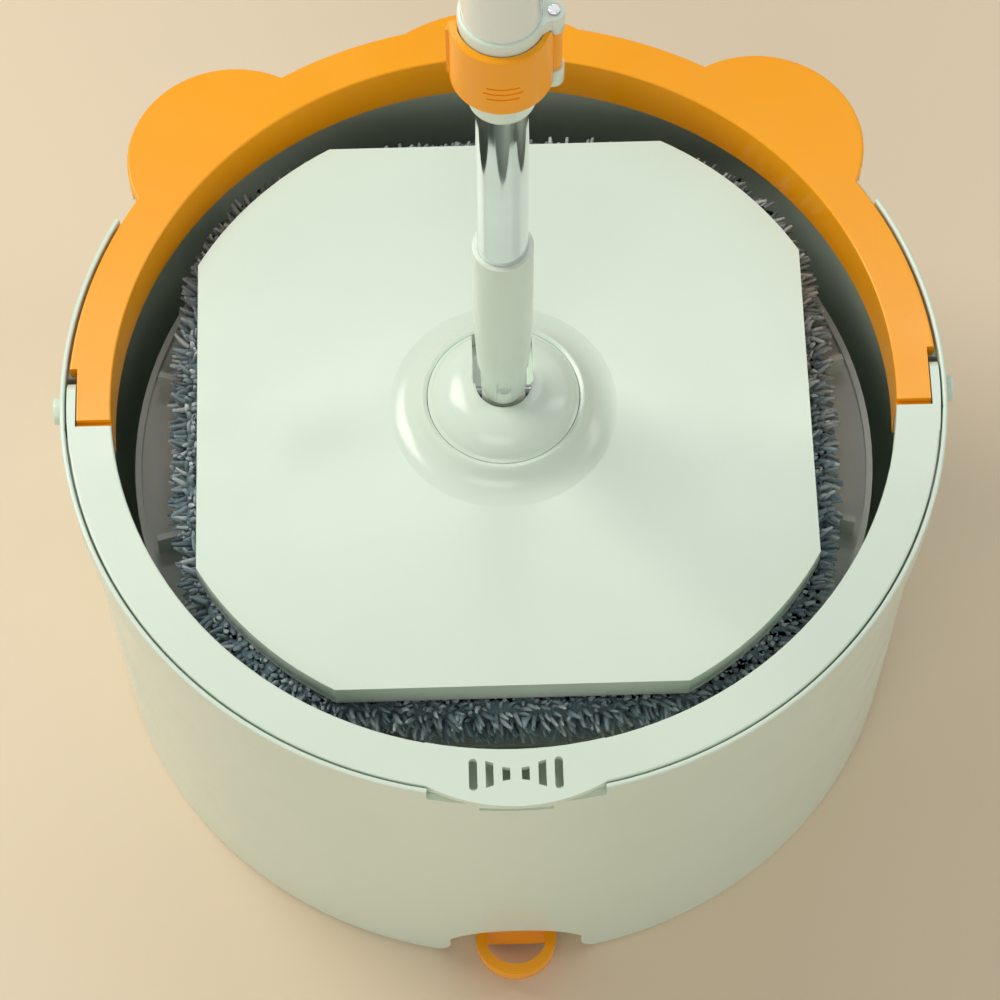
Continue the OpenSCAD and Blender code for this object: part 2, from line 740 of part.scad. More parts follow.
module lock_collar() {
    color("honeydew") difference() {
        union() {
            rotate_extrude() polygon(concat(
                [[0, collar_z], [tube_r + 1.7, collar_z], [tube_r + 2.5, collar_z + 0.8]],
                [[collar_r, collar_z + collar_cone], [collar_r, collar_z + collar_l - 1.2]],
                arc(collar_r - 1, collar_z + collar_l - 1, 1, 0, 90, 4), [[0, collar_z + collar_l]]));
            // Lugs above and below the lever's hinge
            for (z = [lever_z - 3.4, collar_z + collar_l - lug_t]) {
                translate([hinge_x, hinge_y, z]) cylinder(r = lug_r, h = lug_t);
                translate([0, 0, z]) linear_extrude(height = lug_t)
                    polygon([[6, 12.8], [hinge_x + 1.2, hinge_y + lug_r - 0.2],
                             [hinge_x - 0.5, hinge_y - lug_r + 0.1], [10.5, -9.5]]);
            }
        }
        translate([0, 0, collar_z - over]) cylinder(r = tube_r + run, h = 40);
        translate([0, 0, socket_z]) cylinder(r = upper_r + 0.02, h = 60);
        translate([hinge_x, hinge_y, lever_z - 10]) cylinder(r = hinge_pin_r + 0.02, h = 60);
        // Room for the lever's hinge between the lugs
        translate([hinge_x, hinge_y, lever_z + 5.6]) cylinder(r = hinge_r + gap, h = hinge_h());
        // Room for the lever's wrap where the lower lug stands
        intersection() {
            ring(lever_z - gap, lever_in - 0.3, 40, lever_h + 2 * gap);
            wedge(180, hinge_end(), 60, lever_z - gap, 60);
        }
        // Window for the clamp shoe, and the hole of the screw behind
        box([-shoe_half - 0.15, -collar_r - 3, shoe_z - 0.15], [shoe_half + 0.15, 0, shoe_z + shoe_h + 0.15]);
        rod_y(5, 30, 0, socket_z + 12, 1.8);
    }
}
function hinge_h() = collar_z + collar_l - lug_t - (lever_z + 5.6);
function hinge_end() = 360 + atan2(hinge_y - lug_r - 0.4, hinge_x);

module collar_screw() {
    color("silver") {
        rod_y(upper_r - 3, collar_r, 0, socket_z + 12, 1.75);
        rod_y(collar_r, collar_r + 1.3, 0, socket_z + 12, 3.2);
    }
}

module lever_pin() {
    color("silver") translate([hinge_x, hinge_y, 0]) {
        translate([0, 0, lever_z - 3.8]) cylinder(r = hinge_pin_r, h = collar_z + collar_l - lever_z + 4);
        translate([0, 0, collar_z + collar_l + 0.05]) cylinder(r = 2.15, h = 0.8);
    }
}

module lock_lever() {
    color("orange") difference() {
        union() {
            // Wrap round the front of the collar
            rotate([0, 0, 181]) rotate_extrude(angle = hinge_end() - 181 - 3)
                polygon(concat([[lever_in, lever_z], [lever_in + lever_t - 1, lever_z]],
                    arc(lever_in + lever_t - 1, lever_z + 1, 1, 270, 360, 4),
                    arc(lever_in + lever_t - 1, lever_z + lever_h - 1, 1, 0, 90, 4),
                    [[lever_in, lever_z + lever_h]]));
            translate([hinge_x, hinge_y, lever_z + 5.6 + gap]) cylinder(r = hinge_r, h = hinge_h() - 2 * gap);
            // Web from the wrap to the hinge
            intersection() {
                translate([0, 0, lever_z + 5.6 + gap]) linear_extrude(height = hinge_h() - 2 * gap)
                    polygon([[hinge_x - 0.6, hinge_y - 2.4], [hinge_x + 2.8, hinge_y - 0.8],
                             [hinge_x + 1, hinge_y - 6.4], [hinge_x - 4.3, hinge_y - 8.2]]);
                ring(lever_z, lever_in, lever_in + lever_t, lever_h);
            }
            // Cam pad that presses the shoe
            intersection() {
                ring(shoe_z, shoe_out() + 0.2, lever_in + 0.6, shoe_h);
                box([-3.6, -30, shoe_z], [3.6, 0, shoe_z + shoe_h]);
            }
            // Thumb tip at the free end
            box([-lever_in - lever_t - 0.9, -1.8, lever_z + 3], [-lever_in - 0.6, -0.3, lever_z + lever_h - 3]);
        }
        // Grip grooves on the front
        for (i = [-1:1]) rotate([0, 0, 248 + 4 * abs(i)]) rotate_extrude(angle = 44 - 8 * abs(i))
            translate([lever_in + lever_t - 0.45, lever_z + lever_h * 0.4 + i * 3.2 - 0.5]) square([2, 1]);
        translate([hinge_x, hinge_y, lever_z - over]) cylinder(r = hinge_pin_r + run, h = lever_h + 10);
    }
}
function shoe_out() = collar_r - 0.3;

module clamp_shoe() {
    color("dimgray") intersection() {
        box([-shoe_half, -collar_r, shoe_z], [shoe_half, 0, shoe_z + shoe_h]);
        ring(shoe_z, tube_r + 0.12, shoe_out(), shoe_h);
    }
}

module upper_tube() {
    color("honeydew") difference() {
        ring(socket_z + 0.2, upper_r - upper_t, upper_r, upper_l);
        rod_y(0, 30, 0, socket_z + 12, 1.78);
    }
}

module clutch_housing() {
    bore = 8.6;
    color("white") difference() {
        translate([0, 0, clutch_z]) cylinder(r = upper_r - upper_t - 0.02, h = clutch_h);
        translate([0, 0, clutch_z + 6]) cylinder(r = bore, h = clutch_h);
        translate([0, 0, clutch_z - over]) cylinder(r = 5.6, h = clutch_h);
        // Ratchet steps inside the bore
        for (a = [0:45:315]) rotate([0, 0, a])
            box([bore - 1, -1, clutch_z + 8], [bore + 1.4, 1, clutch_z + 22]);
    }
}

module clutch_ratchet() {
    color("orange") difference() {
        union() {
            translate([0, 0, clutch_z + 8]) cylinder(r = 7, h = 14);
            for (a = [22.5:45:337.5]) rotate([0, 0, a])
                box([5, -0.9, clutch_z + 10], [8.2, 0.9, clutch_z + 20]);
        }
        translate([0, 0, clutch_z]) cylinder(r = 4.52, h = 40);
    }
}

module clutch_spring() {
    color("silver") ring(clutch_z + 22.5, 5.4, 8.3, 1.4);
}

module clutch_cap() {
    color("white") {
        translate([0, 0, clutch_z + clutch_h + 0.1]) cylinder(r = upper_r - upper_t - 0.02, h = 3);
        ring(clutch_z + clutch_h - 6, 5.6, 8.5, 6.2);
    }
}

module grip() {
    bulge = 1.6;
    color("honeydew") difference() {
        rotate_extrude() polygon(concat(
            [[upper_r + 0.02, grip_z], [upper_r + 1.4, grip_z]],
            [for (i = [0:24]) [grip_r - 1.4 + bulge * sin(180 * i / 24), grip_z + 2 + (grip_l - 6) * i / 24]],
            [[grip_r - 2, grip_z + grip_l], [upper_r + 0.02, grip_z + grip_l]]));
        // Finger grooves
        for (i = [0:8]) ring(grip_z + 18 + i * 9.5, grip_r - 0.9, grip_r + 4, 2.4);
    }
}

module end_cap() {
    top = grip_z + grip_l;
    color("orange") difference() {
        union() {
            translate([0, 0, upper_top - 18]) cylinder(r = upper_r - upper_t - 0.02, h = top - upper_top + 19);
            rotate_extrude() polygon(concat([[0, top + 0.1], [grip_r, top + 0.1], [grip_r, top + 5]],
                arc(grip_r - 5, top + 5, 5, 0, 90, 6), [[0, top + 10]]));
            intersection() {
                box([-grip_r, -tab_t / 2, top], [grip_r, tab_t / 2, top + cap_l]);
                rod_y(-grip_r, grip_r, 0, top + cap_l - 15, 15);
            }
        }
        rod_y(-30, 30, 0, top + cap_l - 12, hang_r);
    }
}

// ---- twisted rod, which turns as it passes through the nut ----

module twist_rod() {
    color("silver") {
        twisted_bar(rod_z, rod_top, rod_w, rod_t);
        translate([0, 0, rod_top - 3]) cylinder(r = 4.5, h = clutch_h - 14);
    }
}

module rod_stop() {
    color("white") difference() {
        translate([0, 0, rod_z - 3]) cylinder(r = tube_r - tube_t - gap, h = 3.8);
        twisted_bar(rod_z - 0.02, rod_z + over, rod_w + 0.2, rod_t + 0.2);
    }
}

bucket();
handle_pins();
wash_tray();
spindle();
spindle_nut();
spindle_clip();
carry_handle();
splash_guard();
drain_plug();
plug_seal();
spin_seat();
seat_bearings();
seat_cap();
head_plate();
head_base();
head_screws();
hub_cap();
pitch_pin();
hook_strips();
mop_pad();
knuckle();
lower_sleeve();
roll_pin();
sleeve_screw();
lower_tube();
drive_nut();
guide_ring();
lock_collar();
collar_screw();
lever_pin();
upper_tube();
clutch_housing();
clutch_spring();
clutch_cap();
grip();
end_cap();
twist_rod();
rod_stop();
clutch_ratchet();
lock_lever();
clamp_shoe();
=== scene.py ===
# %% [markdown]
# # A spin mop, finished in Blender
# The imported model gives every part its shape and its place, in metres, with the centre of
# the bucket's base at the origin. This lesson sets up the camera and the light, gives every
# plastic, metal and fabric its material, and makes what a plain solid can't show: the pad's
# pile, the hook tape, the soft grip. Each piece then rides on the body it belongs to.

import json
import math
import bpy
from mathutils import Matrix, Vector


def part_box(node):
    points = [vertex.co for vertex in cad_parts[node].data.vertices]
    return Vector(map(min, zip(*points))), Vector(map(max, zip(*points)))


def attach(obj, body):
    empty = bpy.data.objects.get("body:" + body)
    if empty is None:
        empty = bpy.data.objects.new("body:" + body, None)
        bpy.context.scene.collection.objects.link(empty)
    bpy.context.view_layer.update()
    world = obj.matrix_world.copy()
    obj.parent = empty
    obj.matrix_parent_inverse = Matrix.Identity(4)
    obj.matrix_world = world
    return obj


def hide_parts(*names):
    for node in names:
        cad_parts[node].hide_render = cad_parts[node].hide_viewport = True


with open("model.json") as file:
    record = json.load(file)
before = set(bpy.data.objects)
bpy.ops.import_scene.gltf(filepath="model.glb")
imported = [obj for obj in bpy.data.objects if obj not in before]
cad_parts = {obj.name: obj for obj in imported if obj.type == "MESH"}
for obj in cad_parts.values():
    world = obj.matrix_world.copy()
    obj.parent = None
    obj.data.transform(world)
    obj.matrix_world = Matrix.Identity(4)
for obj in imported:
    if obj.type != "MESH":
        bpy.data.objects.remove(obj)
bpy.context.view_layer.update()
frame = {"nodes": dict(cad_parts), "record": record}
nodes = frame["nodes"]
scene = bpy.context.scene

# %% [markdown]
# ## Camera
# A spin mop is looked at from above by someone who stands in front of it. The camera looks
# down steeply through a long lens, so the round rim stays a clean ellipse and the pole points
# at the viewer. It leans by less than half a degree.

# %% Camera
CAMERA_AT = Vector((-0.01856, -0.75824, 1.58394))
CAMERA_AIM = Vector((-0.00263, -0.04258, 0.176))
CAMERA_LEAN = -0.007
CAMERA_LENS = 142.8


def aim(at, target, lean=0.0):
    """The matrix of a camera or a lamp that stands at one point and looks at another."""
    forward = (target - at).normalized()
    side = forward.cross(Vector((0, 0, 1))).normalized()
    up = side.cross(forward)
    leaned_side = side * math.cos(lean) + up * math.sin(lean)
    leaned_up = up * math.cos(lean) - side * math.sin(lean)
    turn = Matrix((leaned_side, leaned_up, -forward)).transposed()
    return Matrix.Translation(at) @ turn.to_4x4()


camera = bpy.data.objects.new("camera", bpy.data.cameras.new("camera"))
scene.collection.objects.link(camera)
camera.data.sensor_width = 36.0
camera.data.lens = CAMERA_LENS
camera.data.clip_start, camera.data.clip_end = 0.01, 50.0
camera.matrix_world = aim(CAMERA_AT, CAMERA_AIM, CAMERA_LEAN)
scene.camera = camera
print("camera stands", round((CAMERA_AT - CAMERA_AIM).length, 3), "m away")

# %% [markdown]
# ## Light and floor
# Glossy plastic shows its shape through reflections, so the lamps are large soft panels: a
# warm key from the back left, like a window, a weaker panel on the right, and a broad one
# over the viewer's head that lights the front. The world is pale at the horizon and darker
# overhead. The floor is plain and warm, and its light tints the bucket's wall.

# %% Lamps
LAMPS = {
    "window_key": ((-1.2, 0.7, 1.7), (1.0, 1.0), 25.0, (1.0, 0.966, 0.905)),
    "right_panel": ((1.45, 0.25, 1.05), (0.35, 1.2), 4.0, (1.0, 0.985, 0.96)),
    "front_panel": ((-0.35, -1.6, 1.5), (1.5, 0.8), 9.5, (1.0, 0.95, 0.87)),
    "sky_strip": ((0.02, 0.98, 2.05), (1.1, 0.16), 3.2, (1.0, 0.99, 0.97)),
}
LAMP_AIM = Vector((0.0, 0.0, 0.15))
for name, (at, size, power, tint) in LAMPS.items():
    lamp = bpy.data.lights.new(name, "AREA")
    lamp.shape = "RECTANGLE"
    lamp.size, lamp.size_y = size
    lamp.energy = power
    lamp.color = tint
    holder = bpy.data.objects.new(name, lamp)
    scene.collection.objects.link(holder)
    holder.matrix_world = aim(Vector(at), LAMP_AIM)
print("lamps:", len(LAMPS))

# %% World and view
HORIZON = (0.86, 0.86, 0.85, 1.0)
ZENITH = (0.27, 0.28, 0.29, 1.0)
WORLD_STRENGTH = 1.0
world = bpy.data.worlds.new("studio")
world.use_nodes = True
sky = world.node_tree
direction = sky.nodes.new("ShaderNodeSeparateXYZ")
sky.links.new(sky.nodes.new("ShaderNodeTexCoord").outputs["Generated"], direction.inputs["Vector"])
height = sky.nodes.new("ShaderNodeValToRGB")
height.color_ramp.elements[0].position = 0.0
height.color_ramp.elements[0].color = HORIZON
height.color_ramp.elements[1].position = 0.45
height.color_ramp.elements[1].color = ZENITH
sky.links.new(direction.outputs["Z"], height.inputs["Fac"])
sky.links.new(height.outputs["Color"], sky.nodes["Background"].inputs["Color"])
sky.nodes["Background"].inputs["Strength"].default_value = WORLD_STRENGTH
scene.world = world
scene.view_settings.view_transform = "Standard"
scene.view_settings.look = "None"
print("world strength", WORLD_STRENGTH)

# %% [markdown]
# ## Material helpers
# Moulded plastic isn't one flat colour: the pigment clouds a little, the skin of the mould
# leaves a faint orange peel, and handling makes the gloss uneven. One helper lays these
# three as noise on Object coordinates, so nothing depends on UVs and every part made of the
# same plastic carries the same grain at the same real scale.


# %% Node helpers
def start_material(name):
    """A new material with its shader, its node tree and its object coordinates."""
    material = bpy.data.materials.new(name)
    material.use_nodes = True
    tree = material.node_tree
    shader = tree.nodes["Principled BSDF"]
    place = tree.nodes.new("ShaderNodeTexCoord").outputs["Object"]
    return material, tree, shader, place


def cloud(tree, place, size, detail=2.0, stretch=None):
    """Noise whose blotches are about size metres across, stretched along an axis if asked."""
    noise = tree.nodes.new("ShaderNodeTexNoise")
    noise.inputs["Scale"].default_value = 1.0 / size
    noise.inputs["Detail"].default_value = detail
    if stretch:
        mapping = tree.nodes.new("ShaderNodeMapping")
        mapping.inputs["Scale"].default_value = stretch
        tree.links.new(place, mapping.inputs["Vector"])
        place = mapping.outputs["Vector"]
    tree.links.new(place, noise.inputs["Vector"])
    return noise.outputs["Fac"]


def spread(tree, value, low, high):
    """Maps noise onto a range, with its middle half drawn out to the whole range."""
    node = tree.nodes.new("ShaderNodeMapRange")
    node.inputs["From Min"].default_value = 0.3
    node.inputs["From Max"].default_value = 0.7
    node.inputs["To Min"].default_value = low
    node.inputs["To Max"].default_value = high
    tree.links.new(value, node.inputs["Value"])
    return node.outputs["Result"]


def blend_colours(tree, value, first, second):
    """A colour between two, chosen by noise."""
    ramp = tree.nodes.new("ShaderNodeValToRGB")
    ramp.color_ramp.elements[0].position = 0.3
    ramp.color_ramp.elements[0].color = (*first, 1.0)
    ramp.color_ramp.elements[1].position = 0.7
    ramp.color_ramp.elements[1].color = (*second, 1.0)
    tree.links.new(value, ramp.inputs["Fac"])
    return ramp.outputs["Color"]


def relief(tree, shader, value, height, strength=1.0):
    """Bump of a real height in metres."""
    bump = tree.nodes.new("ShaderNodeBump")
    bump.inputs["Distance"].default_value = height
    bump.inputs["Strength"].default_value = strength
    tree.links.new(value, bump.inputs["Height"])
    tree.links.new(bump.outputs["Normal"], shader.inputs["Normal"])


print("material helpers ready")


# %% Moulded plastic
def moulded_plastic(name, light, dark, gloss, peel=0.000006):
    """Plastic with clouded pigment, orange peel and uneven gloss. gloss is (low, high)."""
    material, tree, shader, place = start_material(name)
    colour = blend_colours(tree, cloud(tree, place, 0.06, 3.0), light, dark)
    tree.links.new(colour, shader.inputs["Base Color"])
    wear = cloud(tree, place, 0.035, 2.0)
    tree.links.new(spread(tree, wear, *gloss), shader.inputs["Roughness"])
    relief(tree, shader, cloud(tree, place, 0.0022, 1.0), peel)
    shader.inputs["IOR"].default_value = 1.49
    return material


MINT = moulded_plastic("mint_gloss", (0.71, 0.82, 0.70), (0.695, 0.81, 0.685), (0.17, 0.25))
ORANGE = moulded_plastic("orange_gloss", (1.0, 0.40, 0.003), (0.985, 0.382, 0.002), (0.18, 0.26))
OFF_WHITE = moulded_plastic("off_white_satin", (0.74, 0.76, 0.71), (0.69, 0.715, 0.665),
                            (0.36, 0.52), 0.00004)
print("plastics:", MINT.name, ORANGE.name, OFF_WHITE.name)

# %% [markdown]
# ## Metals and rubber
# The lower tube is drawn steel with bright chrome, so its faint lines run along it. Pins,
# nuts and the twisted rod are plain zinc-bright steel, brushed and a little uneven. The
# upper tube is steel under a pale gloss lacquer. Rubber is dark, matt and dusty.


# %% Metal
def metal(name, light, dark, gloss, lines, height):
    """Bare metal with fine drawn lines. lines is the stretch of the noise along each axis."""
    material, tree, shader, place = start_material(name)
    colour = blend_colours(tree, cloud(tree, place, 0.02, 4.0), light, dark)
    tree.links.new(colour, shader.inputs["Base Color"])
    grain = cloud(tree, place, 0.0012, 3.0, lines)
    tree.links.new(spread(tree, grain, *gloss), shader.inputs["Roughness"])
    relief(tree, shader, grain, height)
    shader.inputs["Metallic"].default_value = 1.0
    return material


ALONG_POLE = (1.0, 1.0, 0.02)
BRUSHED = (1.0, 1.0, 0.25)
CHROME = metal("chromed_tube", (0.86, 0.87, 0.89), (0.80, 0.81, 0.83),
               (0.035, 0.08), ALONG_POLE, 0.000001)
STEEL = metal("zinc_steel", (0.63, 0.64, 0.66), (0.50, 0.51, 0.53),
              (0.24, 0.42), BRUSHED, 0.00001)
print("metals:", CHROME.name, STEEL.name)

# %% Lacquer and rubber
LACQUER = moulded_plastic("pale_lacquer", (0.80, 0.85, 0.765), (0.77, 0.825, 0.735),
                          (0.12, 0.2), 0.000012)
lacquer_shader = LACQUER.node_tree.nodes["Principled BSDF"]
lacquer_shader.inputs["Coat Weight"].default_value = 0.5
lacquer_shader.inputs["Coat Roughness"].default_value = 0.06
RUBBER = moulded_plastic("dark_rubber", (0.030, 0.031, 0.032), (0.055, 0.056, 0.057),
                         (0.62, 0.82), 0.00005)
print("coated and rubber:", LACQUER.name, RUBBER.name)

# %% [markdown]
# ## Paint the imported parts
# The record names a slot for every part, and each slot takes one finish. The mesh of a
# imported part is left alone: only its material changes.

# %% Assign the finishes
FINISH = {
    "mint_plastic": MINT, "orange_plastic": ORANGE, "white_plastic": OFF_WHITE,
    "chromed_tube": CHROME, "painted_tube": LACQUER, "steel": STEEL, "rubber": RUBBER,
}
painted = 0
for part in frame["record"]["subparts"]:
    finish = FINISH.get(part["material_slot"])
    if finish:
        for holder in nodes[part["node"]].material_slots:
            holder.material = finish
        painted += 1
print("painted", painted, "parts")

# %% [markdown]
# ## Softened edges
# A moulded part has no knife edges: the tool leaves a radius of some tenths of a millimetre,
# and that radius is what catches the light along a rim. Rounding each edge by hand would
# take a day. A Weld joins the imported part's loose triangles, and a Bevel that works only on
# corners sharper than its limit rounds them, so the flat and curved faces keep their shape.

# %% Round the hard edges of the parts that show
EDGE_RADII = {
    "head_plate": 0.0010, "hub_cap": 0.0006, "lower_sleeve": 0.0005, "lock_collar": 0.0005,
    "drain_plug": 0.0012, "handle_pins": 0.0003, "end_cap": 0.0006,
}
for name, radius in EDGE_RADII.items():
    weld = nodes[name].modifiers.new("weld", "WELD")
    weld.merge_threshold = 0.000005
    bevel = nodes[name].modifiers.new("bevel", "BEVEL")
    bevel.width = radius
    bevel.segments = 2
    bevel.limit_method = "ANGLE"
    bevel.angle_limit = math.radians(50)
    bevel.use_clamp_overlap = True
    bevel.harden_normals = True
print("rounded", len(EDGE_RADII), "parts")

# %% [markdown]
# ## Floor
# A studio floor often curves up behind the object in a sweep. A mop bucket is seen
# from above, so a wide flat sheet is enough, with the faintest mottling. It lies a hair
# below the base, so the two never share a plane.

# %% Floor
floor_material, tree, shader, place = start_material("pale_floor")
mottle = blend_colours(tree, cloud(tree, place, 0.35), (0.82, 0.68, 0.50), (0.78, 0.64, 0.455))
tree.links.new(mottle, shader.inputs["Base Color"])
tree.links.new(spread(tree, cloud(tree, place, 0.05), 0.42, 0.55), shader.inputs["Roughness"])
floor_mesh = bpy.data.meshes.new("floor")
FLOOR_HALF = 6.0
FLOOR_DROP = 0.0003
corners = [(-FLOOR_HALF, -FLOOR_HALF), (FLOOR_HALF, -FLOOR_HALF), (FLOOR_HALF, FLOOR_HALF),
           (-FLOOR_HALF, FLOOR_HALF)]
floor_mesh.from_pydata([(x, y, -FLOOR_DROP) for x, y in corners], [], [(0, 1, 2, 3)])
floor_mesh.materials.append(floor_material)
floor = bpy.data.objects.new("floor", floor_mesh)
scene.collection.objects.link(floor)
print("floor", 2 * FLOOR_HALF, "m wide")

# %% [markdown]
# ## The pad
# The mop's pad is a ring of foam under a microfibre cover: soft, a little swollen between
# its stitched edges, and flat where the head presses it. The core is a closed ring that
# Blender's Cloth blows up gently, as stuffing does. How far each point may move is capped,
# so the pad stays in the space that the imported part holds.

# %% Sizes of the pad
pad_low, pad_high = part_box("mop_pad")
PAD_TOP, PAD_BOTTOM = pad_high.z, pad_low.z
PAD_HALF = pad_high.x
PAD_CORNER = 0.150
PAD_HOLE = 0.038
PAD_INSET = 0.0012
PAD_SWELL = 0.0018
print("pad", round(2 * PAD_HALF, 4), "m wide,", round(PAD_TOP - PAD_BOTTOM, 4), "m thick")


# %% Outline of the square head with its round corners
def square_outline(half, corner, count):
    """Points round a square whose corners are cut by a circle, softened where the two meet."""
    points = []
    for i in range(count):
        angle = 2 * math.pi * (i + 0.5) / count
        flat = half / max(abs(math.cos(angle)), abs(math.sin(angle)))
        sharp = 14
        reach = (flat ** -sharp + corner ** -sharp) ** (-1 / sharp) * 1.012
        reach = min(reach, flat, corner)
        points.append((reach * math.cos(angle), reach * math.sin(angle)))
    return points


outline = square_outline(PAD_HALF - PAD_INSET, PAD_CORNER - PAD_INSET, 160)
print("outline reaches", round(max(math.hypot(*p) for p in outline), 4), "m")


# %% Closed ring for the core
def mesh_object(name, mesh):
    """Links a mesh as an object that stands at the origin."""
    piece = bpy.data.objects.new(name, mesh)
    scene.collection.objects.link(piece)
    return piece


def closed_ring(name, outer, hole, z_low, z_high):
    """A ring-shaped slab between an outline and a round hole."""
    count = len(outer)
    inner = [(hole * x / math.hypot(x, y), hole * y / math.hypot(x, y)) for x, y in outer]
    loops = [[(x, y, z) for x, y in loop] for loop, z in
             ((outer, z_low), (outer, z_high), (inner, z_high), (inner, z_low))]
    vertices = [point for loop in loops for point in loop]
    faces = []
    for band in range(4):
        for i in range(count):
            j = (i + 1) % count
            a, b = band * count, (band + 1) % 4 * count
            faces.append((a + i, a + j, b + j, b + i))
    mesh = bpy.data.meshes.new(name)
    mesh.from_pydata(vertices, [], faces)
    mesh.update()
    return mesh_object(name, mesh)


CORE_LOW, CORE_HIGH = PAD_BOTTOM + 0.003, PAD_TOP - 0.0015
pad_core = closed_ring("pad_core", outline, PAD_HOLE + PAD_INSET, CORE_LOW, CORE_HIGH)
print("core ring has", len(pad_core.data.polygons), "faces")


# %% Swell the core with Cloth
def applied(piece):
    """Replaces a piece's mesh by what its modifiers make of it, and removes them."""
    evaluated = piece.evaluated_get(bpy.context.evaluated_depsgraph_get())
    mesh = bpy.data.meshes.new_from_object(evaluated)
    piece.modifiers.clear()
    piece.data = mesh
    return mesh


VOXEL = 0.005
CLOTH_PRESSURE, CLOTH_FRAMES = 4.0, 20
remesh = pad_core.modifiers.new("remesh", "REMESH")
remesh.mode = "VOXEL"
remesh.voxel_size = VOXEL
start = [v.co.copy() for v in applied(pad_core).vertices]
cloth = pad_core.modifiers.new("cloth", "CLOTH")
cloth.settings.use_pressure = True
cloth.settings.uniform_pressure_force = CLOTH_PRESSURE
cloth.settings.effector_weights.gravity = 0.0
for frame_number in range(1, CLOTH_FRAMES + 1):
    scene.frame_set(frame_number)
applied(pad_core)
scene.frame_set(1)
SWELL_LOW, SWELL_HIGH = PAD_BOTTOM + 0.0012, PAD_TOP - 0.0006
moved = 0.0
for vertex, rest in zip(pad_core.data.vertices, start):
    step = vertex.co - rest
    if step.length > PAD_SWELL:
        step *= PAD_SWELL / step.length
    vertex.co = rest + step
    vertex.co.z = min(max(vertex.co.z, SWELL_LOW), SWELL_HIGH)
    moved = max(moved, step.length)
subdivide = pad_core.modifiers.new("smooth", "SUBSURF")
subdivide.levels = subdivide.render_levels = 1
applied(pad_core)
for face in pad_core.data.polygons:
    face.use_smooth = True
print("core swelled by up to", round(moved * 1000, 2), "mm,", len(pad_core.data.polygons), "faces")

# %% [markdown]
# ## Microfibre
# The cover is a cut pile: thousands of short, fat yarns, each a bundle of fibres too fine to
# see. A material can give the colour and the sheen, but at the pad's edge the yarns make the
# outline itself, so they are real geometry. Geometry Nodes scatter them evenly, lean each
# one a little by chance with a fixed seed, and give each its own tint as an attribute.

# %% Microfibre material
MICROFIBRE, tree, shader, place = start_material("microfibre")
tint = tree.nodes.new("ShaderNodeAttribute")
tint.attribute_name = "yarn_tint"
shades = tree.nodes.new("ShaderNodeValToRGB")
for spot, (position, colour) in enumerate(((0.0, (0.17, 0.25, 0.29)), (1.0, (0.66, 0.74, 0.76)))):
    shades.color_ramp.elements[spot].position = position
    shades.color_ramp.elements[spot].color = (*colour, 1.0)
middle = shades.color_ramp.elements.new(0.6)
middle.color = (0.33, 0.43, 0.475, 1.0)
tree.links.new(tint.outputs["Fac"], shades.inputs["Fac"])
fibre = cloud(tree, place, 0.0007, 3.0)
darker = tree.nodes.new("ShaderNodeMix")
darker.data_type = "RGBA"
darker.blend_type = "MULTIPLY"
darker.inputs["Factor"].default_value = 0.45
tree.links.new(shades.outputs["Color"], darker.inputs["A"])
tree.links.new(blend_colours(tree, fibre, (0.62, 0.64, 0.66), (1.0, 1.0, 1.0)), darker.inputs["B"])
tree.links.new(darker.outputs["Result"], shader.inputs["Base Color"])
tree.links.new(spread(tree, fibre, 0.82, 1.0), shader.inputs["Roughness"])
relief(tree, shader, fibre, 0.0003)
shader.inputs["Sheen Weight"].default_value = 0.35
shader.inputs["Sheen Roughness"].default_value = 0.5
pad_core.data.materials.clear()
pad_core.data.materials.append(MICROFIBRE)
print("microfibre reads", tint.attribute_name)


# %% Geometry node helpers
def new_tree(name, sizes):
    """A geometry node tree with a mesh in, a mesh out and named number inputs."""
    tree = bpy.data.node_groups.new(name, "GeometryNodeTree")
    tree.interface.new_socket("Geometry", in_out="INPUT", socket_type="NodeSocketGeometry")
    tree.interface.new_socket("Geometry", in_out="OUTPUT", socket_type="NodeSocketGeometry")
    for label, value in sizes.items():
        kind = "NodeSocketInt" if isinstance(value, int) else "NodeSocketFloat"
        tree.interface.new_socket(label, in_out="INPUT", socket_type=kind)
    start_node = tree.nodes.new("NodeGroupInput")
    end_node = tree.nodes.new("NodeGroupOutput")
    return tree, start_node, end_node


def add(tree, kind, settings=None, **values):
    """Adds a node, sets its properties, and fills or links its inputs by name."""
    node = tree.nodes.new(kind)
    for key, value in (settings or {}).items():
        setattr(node, key, value)
    for label, value in values.items():
        socket = node.inputs[label.replace("_", " ")]
        if isinstance(value, bpy.types.NodeSocket):
            tree.links.new(value, socket)
        else:
            socket.default_value = value
    return node


def run_tree(piece, tree, sizes):
    """Runs a tree on a piece with its sizes set by identifier, and keeps the plain mesh."""
    modifier = piece.modifiers.new(tree.name, "NODES")
    modifier.node_group = tree
    for item in tree.interface.items_tree:
        if item.in_out == "INPUT" and item.name in sizes:
            modifier[item.identifier] = sizes[item.name]
    return applied(piece)


print("tree helpers ready")

# %% Tree that grows the pile
PILE_SIZES = {
    "Spacing": 0.00185, "Length": 0.0050, "Thickness": 0.00125, "Lean": 0.5, "Fringe": 0.45,
    "Curl": 0.30, "Under": 0.32, "Hidden Half": 0.120, "Hidden Reach": 0.138,
    "Top": PAD_TOP - 0.0015, "Seed": 7,
}
pile, given, made = new_tree("grow_pile", PILE_SIZES)
position = add(pile, "GeometryNodeInputPosition")
axes = add(pile, "ShaderNodeSeparateXYZ", Vector=position.outputs[0])


def number(tree, operation, a, b=None):
    """One step of arithmetic."""
    node = tree.nodes.new("ShaderNodeMath")
    node.operation = operation
    for slot, value in enumerate((a, b)):
        if isinstance(value, bpy.types.NodeSocket):
            tree.links.new(value, node.inputs[slot])
        elif value is not None:
            node.inputs[slot].default_value = value
    return node.outputs[0]


